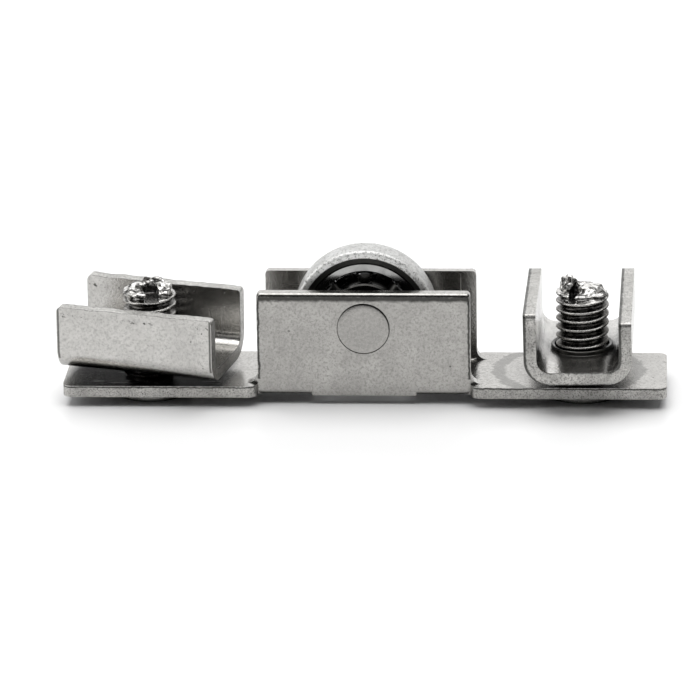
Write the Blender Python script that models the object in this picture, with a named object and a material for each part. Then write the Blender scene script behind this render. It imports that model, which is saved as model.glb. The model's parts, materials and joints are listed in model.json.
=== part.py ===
"""Sliding door roller, modelled as separate pieces in metres with +Z up.

A steel strip is folded up in the middle into two walls that hold a wheel on an open ball bearing
and a riveted axle. At each end an adjusting screw stands through the strip and carries a U-shaped
saddle clip, which climbs the thread when the screw is turned.

Frame: +X runs along the strip, +Y points to the rear wall. The origin lies under the wheel's axle,
on the plane that the two screw heads rest on.
"""
import math

import bmesh
import bpy
from mathutils import Vector

MM = 0.001

# Driving dimensions
SHEET = 1.3 * MM            # thickness of the strip and its walls
STRIP_LENGTH = 66.7 * MM
STRIP_WIDTH = 12.0 * MM
STRIP_CORNER = 1.0 * MM     # rounding of the strip's four outer corners
HOUSING_LENGTH = 23.5 * MM
HOUSING_WIDTH = 9.5 * MM    # over the outer faces of the two walls
HOUSING_HEIGHT = 11.7 * MM  # from the strip's underside to the wall tops
INNER_BEND = 0.4 * MM       # inner radius of the fold between strip and wall
REAR_WALL_SHIFT = 0.4 * MM  # the rear wall is stamped this far towards +X of the front one
WALL_CORNER = 0.5 * MM      # rounding of the walls' upper corners
WALL_FOOT = 1.2 * MM        # radius of the fillet between a wall's end and the wing
WHEEL_SLOT = 11.5 * MM      # length of the slot that the wheel reaches through
WALL_DROP = 0.12 * MM       # the unfolded wall edge beside the slot hangs this much lower
AXLE_HEIGHT = 8.81 * MM     # above the plane that the part rests on

WHEEL_RADIUS = 8.0 * MM
WHEEL_WIDTH = 3.5 * MM
WHEEL_EDGE = 0.37 * MM      # rounding of the tread's two edges
COUNTERSINK = 0.65 * MM     # width of the sloping face round the outer race
RACE_RADIUS = 6.5 * MM      # outside of the outer race
RACE_WIDTH = 2.7 * MM
BALL_RADIUS = 1.1 * MM
BALL_CIRCLE = 4.75 * MM     # radius of the circle that the ball centres lie on
BALL_COUNT = 7
OUTER_SHOULDER = 5.45 * MM
INNER_SHOULDER = 4.05 * MM
CAGE_RING = (4.3 * MM, 5.15 * MM)  # inner and outer radius of the ball cage
CAGE_SHEET = 0.13 * MM
AXLE_RADIUS = 2.5 * MM
RIVET_RADIUS = 2.9 * MM     # the swaged axle end, flush with the wall
SPACER_RADIUS = 3.5 * MM
RUNNING_GAP = 0.05 * MM     # between pieces that touch or turn in each other

SCREW_SPAN = 48.0 * MM      # between the two screw axes
SCREW_RADIUS = 2.95 * MM    # over the thread crests
THREAD_ROOT = 2.45 * MM
THREAD_PITCH = 1.0 * MM
SCREW_HEIGHT = 12.6 * MM    # from the resting plane to the screw's top
HEAD_RADIUS = 4.5 * MM
HEAD_HEIGHT = 1.1 * MM
SCREW_HOLE = 3.2 * MM       # radius of the clearance holes in the strip
DRIVE_SLOT_WIDTH = 1.0 * MM
DRIVE_SLOT_DEPTH = 1.3 * MM

CLIP_SHEET = 1.4 * MM
CLIP_LENGTH = 18.0 * MM
CLIP_WIDTH = 11.8 * MM      # over the outer faces of the two ears
CLIP_INNER_BEND = 1.4 * MM
CLIP_HOLE = 3.05 * MM
CLIP_LIP_RADIUS = 3.45 * MM
CLIP_LIP_HEIGHT = 0.5 * MM
CLIP_CORNER = 0.6 * MM      # rounding of the ears' upper corners

# How each clip lies on its screw: height of its underside, turn about X, Y and Z, offset of its
# middle from the screw across the channel, and the heights of its ears' four corners, which are
# cropped by hand: -Y ear at -X and +X end, then +Y ear at -X and +X end
LEFT_CLIP = (3.25 * MM, (1.3, 1.0, -13.0), 0.0, (7.6, 7.65, 7.8, 7.75))
RIGHT_CLIP = (3.86 * MM, (-1.0, 0.0, 89.2), 0.2 * MM, (7.0, 7.65, 8.2, 7.75))

# Worked out from the driving dimensions
STRIP_BOTTOM = HEAD_HEIGHT + RUNNING_GAP
STRIP_TOP = STRIP_BOTTOM + SHEET
WALL_OUTSIDE = HOUSING_WIDTH / 2
WALL_INSIDE = WALL_OUTSIDE - SHEET
WALL_TOP = STRIP_BOTTOM + HOUSING_HEIGHT
RACE_GROOVE = BALL_RADIUS + RUNNING_GAP

ROUND_STEPS = 48            # flats around the wheel, the bearing and the axle
SCREW_STEPS = 24            # flats around the screws and their holes
GROOVE_STEPS = 6            # flats across each ball track


def clear_scene():
    for old in list(bpy.data.objects):
        bpy.data.objects.remove(old, do_unlink=True)


def metal(name, colour, roughness):
    material = bpy.data.materials.new(name)
    material.use_nodes = True
    shader = material.node_tree.nodes["Principled BSDF"]
    shader.inputs["Base Color"].default_value = (*colour, 1.0)
    shader.inputs["Roughness"].default_value = roughness
    shader.inputs["Metallic"].default_value = 1.0
    return material


def axis_empty(name, place):
    """An empty on a joint's axis, which the moving pieces are parented to."""
    empty = bpy.data.objects.new(name, None)
    empty.empty_display_size = 5 * MM
    empty.location = place
    bpy.context.scene.collection.objects.link(empty)
    return empty


def add_piece(name, mesh, material, place=(0, 0, 0), turn=(0, 0, 0), parent=None):
    """Link a mesh as a named piece. place and turn are relative to the parent empty."""
    piece = bpy.data.objects.new(name, mesh)
    if material is not None:
        piece.data.materials.clear()
        piece.data.materials.append(material)
    piece.location = place
    piece.rotation_euler = turn
    piece.parent = parent
    bpy.context.scene.collection.objects.link(piece)
    return piece


def finish_mesh(shape, name, smooth_angle=30.0):
    bmesh.ops.recalc_face_normals(shape, faces=shape.faces)
    mesh = bpy.data.meshes.new(name)
    shape.to_mesh(mesh)
    shape.free()
    mesh.shade_smooth()
    mesh.set_sharp_from_angle(angle=math.radians(smooth_angle))
    return mesh


def prism_shape(outline, axis, start, end):
    """Extrude a flat outline along an axis. Outline points are (y, z), (x, z) or (x, y)."""
    place = {
        "X": lambda a, b, depth: (depth, a, b),
        "Y": lambda a, b, depth: (a, depth, b),
        "Z": lambda a, b, depth: (a, b, depth),
    }[axis]
    shape = bmesh.new()
    corners = [shape.verts.new(place(a, b, start)) for a, b in outline]
    face = shape.faces.new(corners)
    grown = bmesh.ops.extrude_face_region(shape, geom=[face])
    moved = [item for item in grown["geom"] if isinstance(item, bmesh.types.BMVert)]
    bmesh.ops.translate(shape, verts=moved, vec=place(0, 0, end - start))
    return shape


def prism(name, outline, axis, start, end):
    return finish_mesh(prism_shape(outline, axis, start, end), name)


def round_upper_corners(shape, above, radius):
    """Round the corners of upright walls that run along X, at both ends of their tops."""
    corners = [edge for edge in shape.edges
               if all(vert.co.z > above for vert in edge.verts)
               and abs(edge.verts[0].co.x - edge.verts[1].co.x) < 0.01 * MM]
    bmesh.ops.bevel(shape, geom=corners, offset=radius, offset_type="OFFSET", segments=3,
                    profile=0.5, affect="EDGES")


def arc(centre, radius, start, end, steps):
    """Points on an arc in a flat outline, with angles in degrees, both ends included."""
    points = []
    for step in range(steps + 1):
        angle = math.radians(start + (end - start) * step / steps)
        points.append((centre[0] + radius * math.cos(angle), centre[1] + radius * math.sin(angle)))
    return points


def box_outline(low, high):
    return [(low[0], low[1]), (high[0], low[1]), (high[0], high[1]), (low[0], high[1])]


def turned(name, profile, steps, axis="Y", closed=True):
    """Spin a profile of (radius, along) points a full turn about an axis through the origin.

    A closed profile makes a ring. An open one starts and ends on the axis and makes a solid.
    """
    along = Vector((0, 1, 0)) if axis == "Y" else Vector((0, 0, 1))
    shape = bmesh.new()
    points = [shape.verts.new(Vector((radius, 0, 0)) + along * height) for radius, height in profile]
    edges = [shape.edges.new(pair) for pair in zip(points, points[1:])]
    if closed:
        edges.append(shape.edges.new((points[-1], points[0])))
    bmesh.ops.spin(shape, geom=points + edges, axis=along, cent=(0, 0, 0), steps=steps,
                   angle=2 * math.pi, use_merge=True)
    bmesh.ops.remove_doubles(shape, verts=shape.verts, dist=0.0001 * MM)
    return finish_mesh(shape, name)


def cut(piece, mesh, operation="DIFFERENCE", place=(0, 0, 0), turn=(0, 0, 0)):
    """Cut a helper solid from a piece, or join it on with operation UNION."""
    helper = add_piece(f"{piece.name}_helper", mesh, None, place, turn, piece.parent)
    helper.hide_render = True
    helper.display_type = "WIRE"
    modifier = piece.modifiers.new("cut", "BOOLEAN")
    modifier.operation = operation
    modifier.object = helper


def folded_channel(half_width, bottom, top, sheet, inner_bend, steps):
    """Outline of a U made from sheet: the outer side up one wall, then back down the inner side."""
    outer_bend = inner_bend + sheet
    inside = half_width - sheet
    left = -half_width + outer_bend
    right = half_width - outer_bend
    fold = bottom + outer_bend
    outline = [(-half_width, top)]
    outline += arc((left, fold), outer_bend, 180, 270, steps)
    outline += arc((right, fold), outer_bend, 270, 360, steps)
    outline += [(half_width, top), (inside, top)]
    outline += arc((right, fold), inner_bend, 360, 270, steps)
    outline += arc((left, fold), inner_bend, 270, 180, steps)
    outline += [(-inside, top)]
    return outline


def wing_outline(side):
    """Plan of one wing: square at the housing with rounded shoulders, rounded at its free end."""
    root = HOUSING_LENGTH / 2 - 0.5 * MM
    shoulder = (STRIP_WIDTH - HOUSING_WIDTH) / 2
    wall_end = HOUSING_LENGTH / 2
    edge = STRIP_WIDTH / 2
    tip = STRIP_LENGTH / 2
    shoulder_x = wall_end + shoulder
    lower = [(root, -WALL_INSIDE)]
    lower += [(root, -WALL_OUTSIDE + 0.2 * MM), (wall_end, -WALL_OUTSIDE + 0.2 * MM)]
    lower += arc((shoulder_x, -WALL_OUTSIDE), shoulder, 180, 270, 5)
    lower += arc((tip - STRIP_CORNER, -edge + STRIP_CORNER), STRIP_CORNER, 270, 360, 4)
    outline = lower + [(x, -y) for x, y in reversed(lower)]
    return [(side * x, y) for x, y in outline]


def wall_foot(side):
    """Elevation of the small fillet between a wall's end and the wing's top."""
    wall_end = HOUSING_LENGTH / 2
    radius = WALL_FOOT
    sunk = STRIP_TOP - 0.3 * MM
    inside = wall_end - 0.3 * MM
    curve = arc((wall_end + radius, STRIP_TOP + radius), radius, 180, 270, 4)
    outline = [(inside, sunk), (inside, STRIP_TOP + radius)] + curve + [(wall_end + radius, sunk)]
    return [(side * x, z) for x, z in outline]


def make_bracket(material):
    """The stamped strip: two wings, the folded housing between them, and its holes and slot."""
    half = HOUSING_LENGTH / 2
    channel = folded_channel(WALL_OUTSIDE, STRIP_BOTTOM, WALL_TOP, SHEET, INNER_BEND, 5)
    shape = prism_shape(channel, "X", -half, half)
    for vert in shape.verts:
        if vert.co.y > WALL_INSIDE - INNER_BEND:
            vert.co.x += REAR_WALL_SHIFT
    round_upper_corners(shape, STRIP_TOP + MM, WALL_CORNER)
    bracket = add_piece("bracket", finish_mesh(shape, "bracket"), material)

    slot = WHEEL_SLOT / 2
    slot_top = STRIP_TOP + 0.8 * MM
    cut(bracket, prism("slot", box_outline((-slot, -WALL_OUTSIDE - MM), (slot, WALL_OUTSIDE + MM)),
                       "Z", -MM, slot_top))
    for side in (-1, 1):
        plate = sorted((side * WALL_INSIDE, side * WALL_OUTSIDE))
        stretch = box_outline((plate[0], STRIP_BOTTOM - WALL_DROP), (plate[1], slot_top + MM))
        cut(bracket, prism("wall_edge", stretch, "X", -slot - 0.02 * MM, slot + 0.02 * MM), "UNION")
        cut(bracket, prism("wing", wing_outline(side), "Z", STRIP_BOTTOM, STRIP_TOP), "UNION")
        for end in (-1, 1):
            cut(bracket, prism("wall_foot", wall_foot(end), "Y", *plate), "UNION")

    hole = turned("rivet_hole", rivet_profile(RUNNING_GAP, 0.5 * MM), ROUND_STEPS, closed=False)
    cut(bracket, hole, place=(0, 0, AXLE_HEIGHT))
    for side in (-1, 1):
        hole_circle = arc((0, 0), SCREW_HOLE, 0, 360 - 360 / SCREW_STEPS, SCREW_STEPS - 1)
        cut(bracket, prism("screw_hole", hole_circle, "Z", 0, 5 * MM),
            place=(side * SCREW_SPAN / 2, 0, 0))
    return bracket


def rivet_profile(grow, overrun):
    """The axle, a straight shank with ends swaged out to a cone in each wall."""
    slope = (RIVET_RADIUS - AXLE_RADIUS) / SHEET
    end = RIVET_RADIUS + grow + slope * overrun
    tip = WALL_OUTSIDE + overrun
    shank = AXLE_RADIUS + grow
    return [(0, -tip), (end, -tip), (shank, -WALL_INSIDE), (shank, WALL_INSIDE), (end, tip), (0, tip)]


def ring_profile(inner, outer, start, end):
    return [(inner, start), (outer, start), (outer, end), (inner, end)]


def make_axle(material):
    mesh = turned("axle_rivet", rivet_profile(0, 0), ROUND_STEPS, closed=False)
    add_piece("axle_rivet", mesh, material, (0, 0, AXLE_HEIGHT))


def make_spacers(material):
    """Washers that hold the inner race in the middle between the walls."""
    inner = RACE_WIDTH / 2 + RUNNING_GAP
    outer = WALL_INSIDE - RUNNING_GAP
    for name, side in (("front_spacer", -1), ("rear_spacer", 1)):
        start, end = sorted((side * inner, side * outer))
        profile = ring_profile(AXLE_RADIUS + RUNNING_GAP, SPACER_RADIUS, start, end)
        add_piece(name, turned(name, profile, ROUND_STEPS), material, (0, 0, AXLE_HEIGHT))


def make_tyre(material, axis):
    """The steel wheel rim, bored for the outer race, with a countersunk face on each side."""
    bore = RACE_RADIUS + RUNNING_GAP
    half = WHEEL_WIDTH / 2
    seat = RACE_WIDTH / 2 + RUNNING_GAP
    edge = arc((WHEEL_RADIUS - WHEEL_EDGE, -half + WHEEL_EDGE), WHEEL_EDGE, -90, 0, 3)
    side = [(bore, -seat), (bore + COUNTERSINK, -half)] + edge
    profile = side + [(radius, -along) for radius, along in reversed(side)]
    add_piece("wheel_tyre", turned("wheel_tyre", profile, ROUND_STEPS), material, parent=axis)


def race_groove(shoulder, facing):
    """The ball track in a race: an arc across its width. facing is 1 for the outer race."""
    reach = math.degrees(math.acos(facing * (shoulder - BALL_CIRCLE) / RACE_GROOVE))
    middle = 0 if facing > 0 else 180
    return arc((BALL_CIRCLE, 0), RACE_GROOVE, middle - facing * reach, middle + facing * reach,
               GROOVE_STEPS)


def make_races(material, axis):
    half = RACE_WIDTH / 2
    ease = 0.15 * MM
    outer = [(OUTER_SHOULDER + ease, -half), (RACE_RADIUS - ease, -half), (RACE_RADIUS, -half + ease),
             (RACE_RADIUS, half - ease), (RACE_RADIUS - ease, half), (OUTER_SHOULDER + ease, half),
             (OUTER_SHOULDER, half - ease)]
    outer += list(reversed(race_groove(OUTER_SHOULDER, 1))) + [(OUTER_SHOULDER, -half + ease)]
    mesh = turned("bearing_outer_race", outer, ROUND_STEPS)
    add_piece("bearing_outer_race", mesh, material, parent=axis)

    bore = AXLE_RADIUS + RUNNING_GAP
    inner = [(bore, half), (bore, -half), (INNER_SHOULDER - ease, -half), (INNER_SHOULDER, -half + ease)]
    inner += race_groove(INNER_SHOULDER, -1)
    inner += [(INNER_SHOULDER, half - ease), (INNER_SHOULDER - ease, half)]
    mesh = turned("bearing_inner_race", inner, ROUND_STEPS)
    add_piece("bearing_inner_race", mesh, material, (0, 0, AXLE_HEIGHT))


def make_cage(name, side, material, axis):
    """Half of the ball cage: a flat ribbon ring pressed out into a pocket over each ball."""
    inner, outer = CAGE_RING
    pocket = BALL_RADIUS + RUNNING_GAP
    steps_per_ball = 10
    steps = BALL_COUNT * steps_per_ball
    shape = bmesh.new()
    rings = []
    for step in range(steps):
        angle = 2 * math.pi * step / steps
        from_ball = (step + steps_per_ball / 2) % steps_per_ball - steps_per_ball / 2
        away = abs(from_ball) * 2 * math.pi / steps * BALL_CIRCLE
        near = max(0.04 * MM, math.sqrt(max(0.0, pocket ** 2 - away ** 2)))
        far = math.sqrt(max(0.0, (pocket + CAGE_SHEET) ** 2 - away ** 2))
        far = max(0.04 * MM + CAGE_SHEET, far)
        section = [(inner, near), (outer, near), (outer, far), (inner, far)]
        rings.append([shape.verts.new((radius * math.sin(angle), side * depth, radius * math.cos(angle)))
                      for radius, depth in section])
    for ring, following in zip(rings, rings[1:] + rings[:1]):
        for corner in range(4):
            after = (corner + 1) % 4
            shape.faces.new((ring[corner], ring[after], following[after], following[corner]))
    add_piece(name, finish_mesh(shape, name, 45.0), material, parent=axis)


def make_balls(material, axis):
    shape = bmesh.new()
    bmesh.ops.create_uvsphere(shape, u_segments=16, v_segments=8, radius=BALL_RADIUS)
    mesh = finish_mesh(shape, "ball")
    mesh.materials.append(material)
    for number in range(BALL_COUNT):
        angle = 2 * math.pi * number / BALL_COUNT
        place = (BALL_CIRCLE * math.sin(angle), 0, BALL_CIRCLE * math.cos(angle))
        add_piece(f"ball_{number + 1}", mesh, None, place, parent=axis)


def threaded_rod(bottom, top):
    """A right-handed thread: its profile climbs a helix, and each end is closed to the axis."""
    profile = [(THREAD_ROOT, 0.0), (SCREW_RADIUS, 0.42), (SCREW_RADIUS, 0.58)]
    steps = math.ceil((top - bottom) / THREAD_PITCH) * SCREW_STEPS
    shape = bmesh.new()
    columns = []
    for step in range(steps + 1):
        angle = 2 * math.pi * step / SCREW_STEPS
        climb = bottom + THREAD_PITCH * step / SCREW_STEPS
        columns.append([shape.verts.new((radius * math.cos(angle), radius * math.sin(angle),
                                         climb + THREAD_PITCH * part)) for radius, part in profile])
    for step in range(steps):
        here, ahead = columns[step], columns[step + 1]
        shape.faces.new((here[0], ahead[0], ahead[1], here[1]))
        shape.faces.new((here[1], ahead[1], ahead[2], here[2]))
        if step + SCREW_STEPS < steps:
            above, above_ahead = columns[step + SCREW_STEPS], columns[step + SCREW_STEPS + 1]
            shape.faces.new((here[2], ahead[2], above_ahead[0], above[0]))
    roots = [column[0] for column in columns[:SCREW_STEPS + 1]]
    crests = [column[2] for column in columns[-SCREW_STEPS - 1:]]
    for loop in (roots + [columns[0][2], columns[0][1]], crests + [columns[-1][1], columns[-1][0]]):
        middle = sum(vert.co.z for vert in loop) / len(loop)
        centre = shape.verts.new((0, 0, middle))
        for first, second in zip(loop, loop[1:] + loop[:1]):
            shape.faces.new((first, second, centre))
    return finish_mesh(shape, "threaded_rod")


def make_screw(name, material, axis, slot_turn, low_half):
    """Adjusting screw: a thin round head under the strip, a full thread and a slotted top end."""
    ease = 0.25 * MM
    neck = HEAD_HEIGHT - 0.3 * MM
    wide = SCREW_RADIUS + MM
    screw = add_piece(name, threaded_rod(-THREAD_PITCH, SCREW_HEIGHT + THREAD_PITCH), material, parent=axis)
    keep = [(0, neck), (wide, neck), (wide, SCREW_HEIGHT), (0, SCREW_HEIGHT)]
    cut(screw, turned("screw_length", keep, SCREW_STEPS, "Z", closed=False), "INTERSECT")
    head = [(0, 0), (HEAD_RADIUS - ease, 0), (HEAD_RADIUS, ease), (HEAD_RADIUS, HEAD_HEIGHT - ease),
            (HEAD_RADIUS - ease, HEAD_HEIGHT), (0, HEAD_HEIGHT)]
    cut(screw, turned("head", head, ROUND_STEPS, "Z", closed=False), "UNION")
    above = SCREW_HEIGHT + MM
    slot = box_outline((-DRIVE_SLOT_WIDTH / 2, SCREW_HEIGHT - DRIVE_SLOT_DEPTH),
                       (DRIVE_SLOT_WIDTH / 2, above))
    cut(screw, prism("drive_slot", slot, "Y", -wide, wide), turn=(0, 0, slot_turn))
    if low_half > 0:
        shelf = box_outline((0, SCREW_HEIGHT - low_half), (wide, above))
        cut(screw, prism("low_half", shelf, "Y", -wide, wide), turn=(0, 0, slot_turn))
    return screw


def make_clip(name, material, axis, pose):
    """U-shaped saddle clip, centred on its screw, with its channel along its own X axis."""
    underside, degrees, offset, ear_heights = pose
    place = (0, 0, underside)
    turn = tuple(math.radians(angle) for angle in degrees)
    half = CLIP_LENGTH / 2
    top = 8.0 * MM
    channel = folded_channel(CLIP_WIDTH / 2, 0, top, CLIP_SHEET, CLIP_INNER_BEND, 6)
    shape = prism_shape(channel, "X", -half, half)
    for vert in shape.verts:
        if vert.co.z > top - 0.01 * MM:
            corner = 2 * (vert.co.y > 0) + (vert.co.x > 0)
            vert.co.z = ear_heights[corner] * MM
    round_upper_corners(shape, top / 2, CLIP_CORNER)
    bmesh.ops.translate(shape, verts=shape.verts, vec=(0, offset, 0))
    clip = add_piece(name, finish_mesh(shape, name), material, place, turn, axis)
    lip = ring_profile(CLIP_HOLE - 0.1 * MM, CLIP_LIP_RADIUS, CLIP_SHEET / 2, CLIP_SHEET + CLIP_LIP_HEIGHT)
    cut(clip, turned("lip", lip, SCREW_STEPS, "Z"), "UNION", place, turn)
    hole = [(0, -MM), (CLIP_HOLE, -MM), (CLIP_HOLE, top), (0, top)]
    cut(clip, turned("tapped_hole", hole, SCREW_STEPS, "Z", closed=False), "DIFFERENCE", place, turn)
    return clip


def main():
    clear_scene()
    plate = metal("nickel_plate", (0.62, 0.61, 0.59), 0.3)
    wheel_steel = metal("turned_steel", (0.66, 0.66, 0.65), 0.25)
    bearing_steel = metal("bearing_steel", (0.5, 0.5, 0.5), 0.2)
    screw_steel = metal("screw_steel", (0.42, 0.41, 0.4), 0.35)

    make_bracket(plate)
    make_axle(plate)
    make_spacers(bearing_steel)

    wheel_axis = axis_empty("wheel_axis", (0, 0, AXLE_HEIGHT))
    make_tyre(wheel_steel, wheel_axis)
    make_races(bearing_steel, wheel_axis)
    cage_axis = axis_empty("cage_axis", (0, 0, AXLE_HEIGHT))
    make_cage("front_cage_ribbon", -1, bearing_steel, cage_axis)
    make_cage("rear_cage_ribbon", 1, bearing_steel, cage_axis)
    make_balls(bearing_steel, cage_axis)

    left_axis = axis_empty("left_screw_axis", (-SCREW_SPAN / 2, 0, 0))
    right_axis = axis_empty("right_screw_axis", (SCREW_SPAN / 2, 0, 0))
    make_screw("left_adjusting_screw", screw_steel, left_axis, math.radians(12), 0)
    make_screw("right_adjusting_screw", screw_steel, right_axis, math.radians(-8), 0.7 * MM)
    make_clip("left_saddle_clip", plate, left_axis, LEFT_CLIP)
    make_clip("right_saddle_clip", plate, right_axis, RIGHT_CLIP)


main()
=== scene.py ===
import json
import math

import bmesh
import bpy
from mathutils import Euler, Matrix, Vector, noise


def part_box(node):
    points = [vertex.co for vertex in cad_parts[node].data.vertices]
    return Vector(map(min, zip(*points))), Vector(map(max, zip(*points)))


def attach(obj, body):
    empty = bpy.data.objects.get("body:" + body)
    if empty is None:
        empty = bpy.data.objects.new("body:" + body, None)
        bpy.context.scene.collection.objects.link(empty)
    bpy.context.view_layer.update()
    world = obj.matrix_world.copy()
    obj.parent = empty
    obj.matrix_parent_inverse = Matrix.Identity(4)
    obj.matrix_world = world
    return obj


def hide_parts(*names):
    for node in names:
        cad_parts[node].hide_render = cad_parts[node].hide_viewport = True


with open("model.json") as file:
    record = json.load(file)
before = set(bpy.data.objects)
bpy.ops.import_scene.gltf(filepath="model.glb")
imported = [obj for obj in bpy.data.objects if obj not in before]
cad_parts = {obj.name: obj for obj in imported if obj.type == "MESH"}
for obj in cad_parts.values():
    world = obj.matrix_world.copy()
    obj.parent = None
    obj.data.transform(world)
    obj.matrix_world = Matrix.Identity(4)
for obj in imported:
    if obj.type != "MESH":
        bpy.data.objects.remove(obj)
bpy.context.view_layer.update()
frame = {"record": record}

MM = 0.001
NEAR = 0.01 * MM
CLEAR = 0.02 * MM
JOINTS = {joint["name"]: joint for joint in frame["record"]["behaviour"]["joints"]}

# Places read from the frame
AXLE = Vector(JOINTS["wheel_spin"]["pos_m"])
SCREW_X = JOINTS["right_screw_turn"]["pos_m"][0]
BRACKET_LOW, BRACKET_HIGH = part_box("bracket")
TYRE_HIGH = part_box("wheel_tyre")[1]
SCREW_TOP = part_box("left_adjusting_screw")[1].z

# The stamped bracket
SHEET = 1.3 * MM
STRIP_HALF_LENGTH = BRACKET_HIGH.x
STRIP_HALF_WIDTH = BRACKET_HIGH.y
STRIP_BOTTOM = 1.15 * MM
STRIP_TOP = STRIP_BOTTOM + SHEET
WALL_TOP = BRACKET_HIGH.z
WALL_OUTSIDE = 4.75 * MM
WALL_INSIDE = WALL_OUTSIDE - SHEET
HOUSING_HALF_LENGTH = 11.75 * MM
REAR_WALL_SHIFT = 0.4 * MM
FOLD_RADIUS = 0.5 * MM
INNER_FOLD = 0.25 * MM
SLOT_HALF_LENGTH = 5.75 * MM
SCREW_HOLE_RADIUS = 3.2 * MM

# The wheel and its bearing
WHEEL_RADIUS = TYRE_HIGH.x
WHEEL_HALF_WIDTH = TYRE_HIGH.y
RACE_RADIUS = 6.5 * MM
RACE_HALF_WIDTH = 1.35 * MM
BALL_RADIUS = 1.1 * MM
BALL_CIRCLE = 4.75 * MM
BALL_COUNT = 7
AXLE_RADIUS = 2.5 * MM
INNER_BORE = AXLE_RADIUS + 0.03 * MM
RIVET_RADIUS = 2.9 * MM

# The screws
THREAD_RADIUS = 2.95 * MM
THREAD_ROOT = 2.42 * MM
PITCH = 1.0 * MM
HEAD_RADIUS = 4.5 * MM
HEAD_HEIGHT = 1.1 * MM
TORN_FROM = 10.9 * MM
# Shank top, slot's turn in degrees, lumps of mashed thread as (centre, size, tilt in degrees), and
# the staked slot's middle across the screw, its width and the level of its floor. All in millimetres.
LEFT_END = (11.9, 12, [((-1.55, -0.7, 11.7), (1.25, 1.5, 1.0), -30),
                       ((1.5, -0.5, 11.8), (1.2, 1.5, 0.95), 28),
                       ((0.2, 1.6, 11.7), (1.9, 0.9, 0.9), 0)], (0.0, 1.5, 11.0))
RIGHT_END = (11.8, -8, [((-1.45, 0.2, 12.1), (1.0, 1.6, 1.4), -18),
                        ((1.1, 0.1, 11.5), (1.8, 2.3, 0.85), 8),
                        ((-0.3, 1.5, 11.6), (1.2, 0.8, 0.7), 0)], (-0.75, 0.8, 11.0))

# The clips
CLIP_SHEET = 1.4 * MM
CLIP_HALF_LENGTH = 9.0 * MM
CLIP_HALF_WIDTH = 5.9 * MM
CLIP_FOLD = 2.8 * MM
CLIP_HOLE = 3.05 * MM
CLIP_BLANK_HEIGHT = 8.0 * MM
CLIP_STATIONS = 44
# Underside height, turns in degrees, offset across the channel, and ear heights in millimetres:
# -Y ear at its -X and +X end, then +Y ear at its -X and +X end
LEFT_CLIP = (3.25 * MM, (1.3, 1.0, -13.0), 0.0, (7.6, 7.65, 7.8, 7.75))
RIGHT_CLIP = (3.86 * MM, (-1.0, 0.0, 89.2), 0.2 * MM, (7.0, 7.65, 8.2, 7.75))

# Looks, in millimetres where it is a place or a size
OWN_PLACE = "own_place"
NICK_LEVEL = 6.75
RUBBED_RING = 8.6
SKIN_DEPTH = 0.012 * MM
# Painted shade: near-black for dark lines at rounded edges and for the rivet's shadow crescent.
PAINTED_SHADE = (0.03, 0.03, 0.028)
SHEARED_STEEL = ((0.38, 0.373, 0.357), (0.64, 0.63, 0.605), (0.3, 0.45), (6.5, 3.0))


# ---------------------------------------------------------------- picking and shaping

def pick(piece):
    """Select only this piece and make it active."""
    bpy.ops.object.select_all(action="DESELECT")
    piece.select_set(True)
    bpy.context.view_layer.objects.active = piece


def take_new(name):
    piece = bpy.context.object
    piece.name = name
    piece.data.name = name
    return piece


def edit(piece, kind, wanted):
    """Open a piece in edit mode with only its wanted vertices, edges or faces selected."""
    pick(piece)
    bpy.ops.object.mode_set(mode="EDIT")
    bpy.ops.mesh.select_mode(type=kind)
    bpy.ops.mesh.select_all(action="DESELECT")
    shape = bmesh.from_edit_mesh(piece.data)
    parts = {"VERT": shape.verts, "EDGE": shape.edges, "FACE": shape.faces}[kind]
    for part in parts:
        if wanted(part):
            part.select_set(True)
    shape.select_flush_mode()
    bmesh.update_edit_mesh(piece.data)


def close_edit():
    bpy.ops.object.mode_set(mode="OBJECT")


def everything(part):
    return True


def use(piece, kind, **settings):
    """Add a modifier to a piece, set it and apply it."""
    pick(piece)
    modifier = piece.modifiers.new(kind.lower(), kind)
    for setting, value in settings.items():
        setattr(modifier, setting, value)
    bpy.ops.object.modifier_apply(modifier=modifier.name)


def carve(piece, shape, operation="DIFFERENCE"):
    """Cut a shape out of a piece, or join it on with UNION, and throw the shape away."""
    use(piece, "BOOLEAN", object=shape, operation=operation)
    bpy.data.objects.remove(shape, do_unlink=True)


def slice_at(piece, point, normal, **settings):
    """Cut a piece's mesh along a plane."""
    edit(piece, "VERT", everything)
    bpy.ops.mesh.bisect(plane_co=point, plane_no=normal, threshold=1e-9, **settings)
    close_edit()


def place(piece, matrix):
    piece.data.transform(matrix)
    piece.data.update()


def tidy_shell(piece):
    """Merge coincident points and turn all faces outwards."""
    edit(piece, "VERT", everything)
    bpy.ops.mesh.remove_doubles(threshold=0.0001 * MM)
    bpy.ops.mesh.select_all(action="SELECT")
    bpy.ops.mesh.normals_make_consistent(inside=False)
    close_edit()


def ease_edges(piece, width):
    use(piece, "BEVEL", width=width, segments=3, limit_method="ANGLE", angle_limit=math.radians(38),
        use_clamp_overlap=True, miter_outer="MITER_ARC")


def arc(centre, radius, start, end, steps):
    """Points on an arc of a flat profile, angles in degrees, both ends included."""
    points = []
    for step in range(steps + 1):
        angle = math.radians(start + (end - start) * step / steps)
        points.append((centre[0] + radius * math.cos(angle), centre[1] + radius * math.sin(angle)))
    return points


def block(name, low, high):
    """A box from one corner to the other."""
    low, high = Vector(low), Vector(high)
    bpy.ops.mesh.primitive_cube_add(size=1)
    piece = take_new(name)
    place(piece, Matrix.Translation((low + high) / 2) @ Matrix.Diagonal((*(high - low), 1)))
    return piece


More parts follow.
